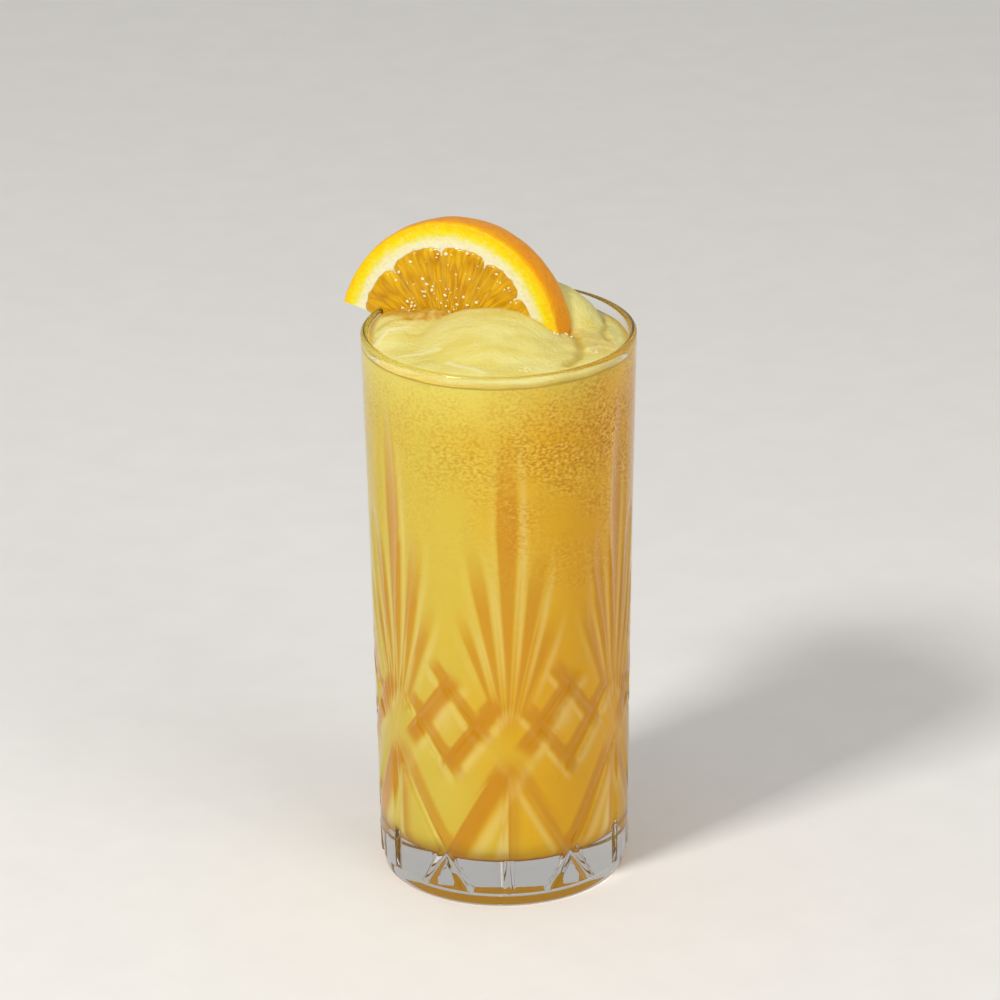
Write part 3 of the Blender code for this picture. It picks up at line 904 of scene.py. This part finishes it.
def slice_matrix():
    """Placement of the slice in the row frame."""
    face = Vector(
        (
            -math.sin(SLICE_YAW) * math.cos(SLICE_LEAN),
            -math.cos(SLICE_YAW) * math.cos(SLICE_LEAN),
            math.sin(SLICE_LEAN),
        )
    )
    right = Vector((0.0, 0.0, 1.0)).cross(face).normalized()
    up = face.cross(right)
    turn_matrix = Matrix((right, up, face)).transposed().to_4x4()
    return Matrix.Translation(SLICE_CENTRE) @ turn_matrix @ Matrix.Rotation(-SLICE_ROLL, 4, "Z")


def keep_place(bm):
    """Store each point's place in the slice's own plane, in millimetres, for the materials."""
    layer = bm.verts.layers.float_vector.new("slice_place")
    for vert in bm.verts:
        vert[layer] = vert.co / MM


def skin_distance(radius, angle, skins):
    """Distance in metres from a point of the flesh to the nearest of the skins between segments."""
    degrees = math.degrees(angle)
    nearest = 90.0
    for skin in skins:
        drift = 5.0 * (1.0 - radius / FLESH_RADIUS) ** 2 * math.sin(math.radians(skin * 3.0))
        drift += 0.8 * noise.noise(Vector((radius / (5.0 * MM), skin, 0.0)))
        nearest = min(nearest, abs(degrees - skin - drift))
    return radius * math.radians(nearest)


def flesh_reach(angle, radius):
    """Radius at which a segment of flesh ends in the pith: a low arch between its skins, a little wavy."""
    degrees = math.degrees(angle)
    reach = radius - 0.3 * MM
    for near, far in zip(SKIN_ANGLES, SKIN_ANGLES[1:]):
        if near <= degrees < far:
            across = abs(2.0 * (degrees - near) / (far - near) - 1.0)
            reach -= 1.7 * MM * across**6
    return reach + 0.3 * MM * noise.noise(Vector((angle * 14.0, 0.0, 0.0)))


def vesicles(radius, angle, level):
    """Two numbers from 0 to 1 for the juice sacs at a point: height of its sac, and the sac's own shade."""
    across = angle * 15.0 + 0.8 * noise.noise(Vector((angle * 6.0, radius / (6.0 * MM), level)))
    along = radius / (6.5 * MM) + 2.0 * noise.noise(Vector((angle * 9.0, 0.0, level)))
    distances, spots = noise.voronoi(Vector((across, along, level)))
    ridge = min(1.0, (distances[1] - distances[0]) * 2.0)
    shade = 0.5 + 0.5 * noise.noise(spots[0] * 5.3)
    return ridge, shade


def rim_slot(glass):
    """Ring that makes room in the slice for the glass's rim, which it grips."""
    grip = 0.05 * MM
    wide = outer_radius(glass, glass.height) - grip
    narrow = inner_radius(glass, glass.height) + grip
    low = glass.height - 30.0 * MM
    lip = 0.5 * (wide - narrow)
    outline = [(wide, low)]
    outline += arc_points(narrow + lip, glass.height - lip - grip, lip, 0.0, math.pi, 10)
    outline += [(narrow, low), (wide, low)]
    bm = bmesh.new()
    turn(bm, outline, 180)
    tools = new_tools("slot")
    add_tool(tools, bm)
    return tools


def orange_rind(thickness, peel):
    """Orange rind: glossy dimpled peel, a yellow layer with pale oil glands, and matt spongy pith."""
    made, tree, shader = new_material(
        "Orange_Rind",
        {
            "Roughness": 0.36,
            "Specular IOR Level": 0.2,
            "Subsurface Weight": 0.2,
            "Subsurface Radius": (1.0, 0.7, 0.2),
            "Subsurface Scale": 1.5 * MM,
        },
    )
    half = 0.5 * thickness / MM
    place = add(tree, "Attribute", attribute_name="slice_place").outputs["Vector"]
    level = add(tree, "SeparateXYZ", {"Vector": place}).outputs["Z"]
    flat = add(tree, "VectorMath", {0: place, 1: (1.0, 1.0, 0.0)}, operation="MULTIPLY").outputs["Vector"]
    radius = add(tree, "VectorMath", {0: flat}, operation="LENGTH").outputs["Value"]
    middle = add(tree, "Math", {0: level, 1: half}, operation="ADD").outputs["Value"]
    off_middle = add(tree, "Math", {0: middle}, operation="ABSOLUTE").outputs["Value"]
    behind = add(tree, "Math", {0: half, 1: off_middle}, operation="SUBTRACT").outputs["Value"]
    inward = add(tree, "Math", {0: behind, 1: 1.6}, operation="MINIMUM").outputs["Value"]
    outward = add(tree, "Math", {0: radius, 1: inward}, operation="ADD").outputs["Value"]
    wave = add(tree, "TexNoise", {"Vector": place, "Scale": MM / RIND_CLOUD, "Detail": 4.0}).outputs["Fac"]
    shifted = add(tree, "Math", {0: wave, 1: 2.6, 2: outward}, operation="MULTIPLY_ADD").outputs["Value"]
    depth = add(tree, "MapRange", {"Value": shifted, "From Min": 27.0, "From Max": 36.0}).outputs["Result"]
    layers = (
        (0.0, rgba("#ece5c2")),
        (0.22, rgba("#eae2a2")),
        (0.3, rgba("#e9dd58")),
        (0.42, rgba("#f0d800")),
        (0.62, rgba("#f0c400")),
        (0.78, rgba("#f8b000")),
        (1.0, (*peel, 1.0)),
    )
    color = add(tree, "ValToRGB", {"Fac": depth}, layers).outputs["Color"]
    pores = add(tree, "TexVoronoi", {"Vector": place, "Scale": MM / PEEL_PORE}, feature="SMOOTH_F1")
    pore = pores.outputs["Distance"]
    gland = add(tree, "MapRange", {"Value": pore, "From Min": 0.3, "From Max": 0.12}).outputs["Result"]
    black, pale, dim = (rgba(code) for code in ("#000000", "#8c8c8c", "#6c6c6c"))
    stops = ((0.3, black), (0.46, pale), (0.58, dim), (0.68, black))
    yellow = add(tree, "ValToRGB", {"Fac": depth}, stops).outputs["Color"]
    dot = add(tree, "Math", {0: gland, 1: yellow}, operation="MULTIPLY").outputs["Value"]
    color = add(tree, "Mix", {0: dot, 6: color, 7: rgba("#f6eeb0")}, data_type="RGBA").outputs[2]
    tree.links.new(color, shader.inputs["Base Color"])
    bump = add(tree, "Bump", {"Height": pore, "Strength": 0.8, "Distance": 0.3 * MM})
    tree.links.new(bump.outputs["Normal"], shader.inputs["Normal"])
    return made


def orange_flesh(flesh):
    """Cut orange flesh: wet juice sacs lit from within, parted by thin skins and bedded in pale pith."""
    made, tree, shader = new_material(
        "Orange_Flesh",
        {
            "Roughness": 0.22,
            "IOR": 1.36,
            "Specular IOR Level": 0.2,
            "Subsurface Weight": 0.45,
            "Subsurface Radius": (1.0, 0.6, 0.1),
            "Subsurface Scale": 2.0 * MM,
            "Coat Weight": 0.4,
            "Coat Roughness": 0.04,
        },
    )
    sac = add(tree, "Attribute", attribute_name="sac").outputs["Vector"]
    skin, tone, pith = add(tree, "SeparateXYZ", {"Vector": sac}).outputs
    stops = ((0.15, rgba("#c08400")), (0.5, (*flesh, 1.0)), (0.85, rgba("#e8ba10")))
    color = add(tree, "ValToRGB", {"Fac": tone}, stops).outputs["Color"]
    for share, code in ((skin, "#dcb63a"), (pith, "#efe6b4")):
        color = add(tree, "Mix", {0: share, 6: color, 7: rgba(code)}, data_type="RGBA").outputs[2]
    tree.links.new(color, shader.inputs["Base Color"])
    return made


def pale_bead_finish():
    """Tiny beads of juice and froth, mirror smooth, opaque, their pale colour a painted highlight for the
    light they catch.
    """
    finish = {
        # Pale colour: painted highlight
        "Base Color": rgba("#fbeab4"),
        "Roughness": 0.05,
        "IOR": 1.36,
        "Subsurface Weight": 0.5,
        "Subsurface Radius": (1.0, 0.7, 0.3),
        "Subsurface Scale": 0.5 * MM,
        "Coat Weight": 1.0,
        "Coat Roughness": 0.02,
    }
    return new_material("Bead_Painted_Highlight", finish)[0]


class SMOOTHIE_OT_slice(Operator):
    """Make the half wheel of orange and hang it on the rim"""

    bl_idname = "smoothie.slice"
    bl_label = "Build Orange Slice"

    def execute(self, context):
        glass = context.scene.smoothie_glass
        orange = context.scene.smoothie_slice
        self.build_rind(glass, orange)
        self.build_flesh(glass, orange)
        self.build_drops(orange)
        return {"FINISHED"}

    def build_rind(self, glass, orange):
        """Peel and pith in one half ring."""
        back = -orange.thickness
        inner = orange.flesh_radius - 3.0 * MM
        edge = orange.radius - 1.0 * MM
        outline = [(inner + (edge - inner) * step / 16, 0.0) for step in range(17)]
        bulge = 0.45 * MM
        for step in range(1, 24):
            angle = math.pi * step / 24
            wide = math.sin(angle) ** 0.42
            reach = edge + (1.0 * MM + bulge * math.sin(angle)) * wide
            outline.append((reach, 0.5 * back * (1.0 - math.cos(angle))))
        outline += [(edge + (inner - edge) * step / 16, back) for step in range(17)]
        outline += [(inner, 0.5 * back), (inner, 0.0)]
        bm = bmesh.new()
        turn(bm, outline, 240, math.pi)
        for vert in bm.verts:
            radius = math.hypot(vert.co.x, vert.co.y)
            spot = vert.co / (4.0 * MM)
            if radius > edge + 0.3 * MM:
                push = 1.0 + (0.14 * MM * noise.noise(spot) + 0.05 * MM * noise.noise(spot * 3.0)) / radius
                vert.co.x *= push
                vert.co.y *= push
            else:
                vert.co.z += 0.12 * MM * noise.noise(spot * 2.0) + 0.15 * MM * noise.noise(spot * 0.6)
        keep_place(bm)
        bmesh.ops.transform(bm, matrix=slice_matrix(), verts=bm.verts[:])
        finish = orange_rind(orange.thickness, orange.peel_color)
        made = piece(bm, "slice_rind", finish, "orange_slice")
        apply_boolean(made, rim_slot(glass))
        made.data.set_sharp_from_angle(angle=math.radians(45.0))

    def build_flesh(self, glass, orange):
        """Segments of flesh in one half disc, swelling between their skins."""
        back = -orange.thickness
        rings = 78
        radii = [orange.flesh_radius * ring / rings for ring in range(rings + 1)]
        outline = [(radius, 0.0) for radius in radii]
        outline += [(radii[-1], back * share) for share in (0.2, 0.4, 0.6, 0.8)]
        outline += [(radius, back) for radius in reversed(radii)]
        bm = bmesh.new()
        turn(bm, outline, 300, math.pi)
        caps = [face for face in bm.faces if len(face.verts) > 4]
        bmesh.ops.triangulate(bm, faces=caps)
        layer = bm.verts.layers.float_vector.new("sac")
        for vert in bm.verts:
            radius = math.hypot(vert.co.x, vert.co.y)
            angle = math.atan2(vert.co.y, vert.co.x)
            front = vert.co.z > 0.5 * back
            level = 0.5 if front else 3.5
            skin = skin_distance(radius, angle, SKIN_ANGLES)
            faint = skin_distance(radius, angle, FAINT_SKIN_ANGLES)
            border = flesh_reach(angle, orange.flesh_radius) - radius
            swell = 1.0 - math.exp(-max(0.0, min(skin, border)) / (0.8 * MM))
            ridge, shade = vesicles(radius, angle, level)
            core = min(1.0, radius / (5.0 * MM))
            rise = (0.62 * swell + 0.26 * ridge * swell * core - 0.12) * MM
            if vert.co.z > -0.01 * MM or vert.co.z < back + 0.01 * MM:
                vert.co.z += rise if front else -rise
            thin = max(0.0, 1.0 - skin / (0.42 * MM))
            thin = max(thin, 0.55 * max(0.0, 1.0 - faint / (0.35 * MM)))
            thin = max(thin, 0.6 * max(0.0, 1.0 - radius / (3.0 * MM)))
            pith = 1.0 - step_between(-0.25, 0.2, border / MM)
            # Lighter on the sacs' tops, with painted shade in the hollows between them.
            tone = 0.45 * shade + 0.3 * ridge + 0.25 * (0.5 + noise.noise(vert.co / (3.5 * MM)))
            vert[layer] = (thin, tone, pith)
        bmesh.ops.transform(bm, matrix=slice_matrix(), verts=bm.verts[:])
        made = piece(bm, "slice_flesh", orange_flesh(orange.flesh_color), "orange_slice")
        apply_boolean(made, rim_slot(glass))
        made.data.set_sharp_from_angle(angle=math.radians(50.0))

    def build_drops(self, orange):
        """Beads of juice on the front of the flesh: along its arches, and more of them near the drink."""
        draw = Random(7)
        bm = bmesh.new()
        spots = []
        for count, angles, radii in (
            (16, (52.0, 146.0), (22.5, 25.4)),
            (26, (30.0, 172.0), (12.0, 22.0)),
            (64, (66.0, 170.0), (6.0, 15.5)),
            (22, (20.0, 50.0), (17.0, 25.0)),
        ):
            for step in range(count):
                spots.append((math.radians(draw.uniform(*angles)), draw.uniform(*radii) * MM))
        for angle, radius in spots:
            size = (0.17 + 0.28 * draw.random() ** 2) * MM
            place = Vector((radius * math.cos(angle), radius * math.sin(angle), 0.62 * MM))
            made = bmesh.ops.create_icosphere(bm, subdivisions=2, radius=size)["verts"]
            flat = (draw.uniform(0.8, 1.5), draw.uniform(0.8, 1.3), 0.8)
            bmesh.ops.scale(bm, vec=flat, verts=made)
            bmesh.ops.translate(bm, vec=place, verts=made)
        bmesh.ops.transform(bm, matrix=slice_matrix(), verts=bm.verts[:])
        piece(bm, "juice_drops", pale_bead_finish(), "orange_slice")


def matt_paper():
    """Seamless paper sweep: matt, pale and even."""
    made, tree, shader = new_material("Seamless_Paper", {"Roughness": 0.9})
    place = add(tree, "TexCoord").outputs["Object"]
    cloud = add(tree, "TexNoise", {"Vector": place, "Scale": 1.0 / PAPER_CLOUD, "Detail": 5.0}).outputs["Fac"]
    tone = add(tree, "ValToRGB", {"Fac": cloud}, ((0.3, rgba("#f1efec")), (0.7, rgba("#f4f2ef"))))
    tree.links.new(tone.outputs["Color"], shader.inputs["Base Color"])
    return made


def area_light(name, place, target, size, power, color):
    """Square soft light turned towards a point."""
    light = bpy.data.lights.new(name, "AREA")
    light.shape = "SQUARE"
    light.size = size
    light.energy = power
    light.color = color
    lamp = bpy.data.objects.new(name, light)
    lamp.location = place
    lamp.rotation_euler = (Vector(target) - Vector(place)).to_track_quat("-Z", "Y").to_euler()
    bpy.context.scene.collection.objects.link(lamp)


class SMOOTHIE_OT_stage(Operator):
    """Set up the floor, the light and the camera"""

    bl_idname = "smoothie.stage"
    bl_label = "Build Stage"

    def execute(self, context):
        stage = context.scene.smoothie_stage
        bm = bmesh.new()
        bmesh.ops.create_grid(bm, x_segments=8, y_segments=8, size=4.0)
        mesh = bpy.data.meshes.new("floor")
        bm.to_mesh(mesh)
        bm.free()
        mesh.materials.append(matt_paper())
        floor = bpy.data.objects.new("floor", mesh)
        floor.location.z = -FLOOR_GAP
        context.scene.collection.objects.link(floor)
        world = bpy.data.worlds.new("studio")
        world.use_nodes = True
        sky = world.node_tree.nodes["Background"]
        sky.inputs["Color"].default_value = (1.0, 0.99, 0.975, 1.0)
        sky.inputs["Strength"].default_value = stage.sky
        context.scene.world = world
        middle = (0.0, 0.0, 0.09)
        area_light("key", (-0.8, -0.75, 1.2), middle, 0.26, stage.key_power, (1.0, 0.985, 0.96))
        area_light("fill", (0.9, -0.9, 0.7), middle, 0.9, stage.fill_power, (1.0, 0.99, 0.975))
        self.add_camera(context.scene)
        context.scene.view_settings.view_transform = "Standard"
        context.scene.cycles.max_bounces = 16
        context.scene.cycles.transmission_bounces = 12
        context.scene.cycles.transparent_max_bounces = 16
        return {"FINISHED"}

    def add_camera(self, scene):
        """Long lens at the height of a seated guest, a touch out of level."""
        distance = 1.375
        elevation = math.radians(22.5)
        roll = math.radians(-0.65)
        forward = Vector((0.0, math.cos(elevation), -math.sin(elevation)))
        level_right = Vector((1.0, 0.0, 0.0))
        level_up = level_right.cross(forward)
        right = math.cos(roll) * level_right + math.sin(roll) * level_up
        up = -math.sin(roll) * level_right + math.cos(roll) * level_up
        data = bpy.data.cameras.new("camera")
        data.sensor_width = 36.0
        data.lens = 187.2
        camera = bpy.data.objects.new("camera", data)
        turned = Matrix((right, up, -forward)).transposed().to_4x4()
        aim = Vector((-0.12 * MM, 0.0, 104.0 * MM))
        camera.matrix_world = Matrix.Translation(aim - distance * forward) @ turned
        scene.collection.objects.link(camera)
        scene.camera = camera


class SMOOTHIE_PT_panel(Panel):
    """Show each section's settings and its build button in the sidebar"""

    bl_label = "Citrus Smoothie"
    bl_space_type = "VIEW_3D"
    bl_region_type = "UI"
    bl_category = "Smoothie"

    def draw(self, context):
        for section, group, operator in SECTIONS:
            box = self.layout.box()
            settings = getattr(context.scene, section)
            for name in group.__annotations__:
                box.prop(settings, name)
            box.operator(operator.bl_idname)


SECTIONS = (
    ("smoothie_glass", GlassSettings, SMOOTHIE_OT_glass),
    ("smoothie_drink", SmoothieSettings, SMOOTHIE_OT_drink),
    ("smoothie_slice", SliceSettings, SMOOTHIE_OT_slice),
    ("smoothie_stage", StageSettings, SMOOTHIE_OT_stage),
)


def register():
    """Register the settings, operators and panel."""
    for name, group, operator in SECTIONS:
        bpy.utils.register_class(group)
        setattr(bpy.types.Scene, name, PointerProperty(type=group))
        bpy.utils.register_class(operator)
    bpy.utils.register_class(SMOOTHIE_PT_panel)


def unregister():
    """Take the panel, operators and settings away again."""
    bpy.utils.unregister_class(SMOOTHIE_PT_panel)
    for name, group, operator in reversed(SECTIONS):
        bpy.utils.unregister_class(operator)
        delattr(bpy.types.Scene, name)
        bpy.utils.unregister_class(group)


def main():
    """Register the add-on, then build every piece in order."""
    register()
    bpy.ops.smoothie.glass()
    bpy.ops.smoothie.drink()
    bpy.ops.smoothie.slice()
    bpy.ops.smoothie.stage()


if __name__ == "__main__":
    main()
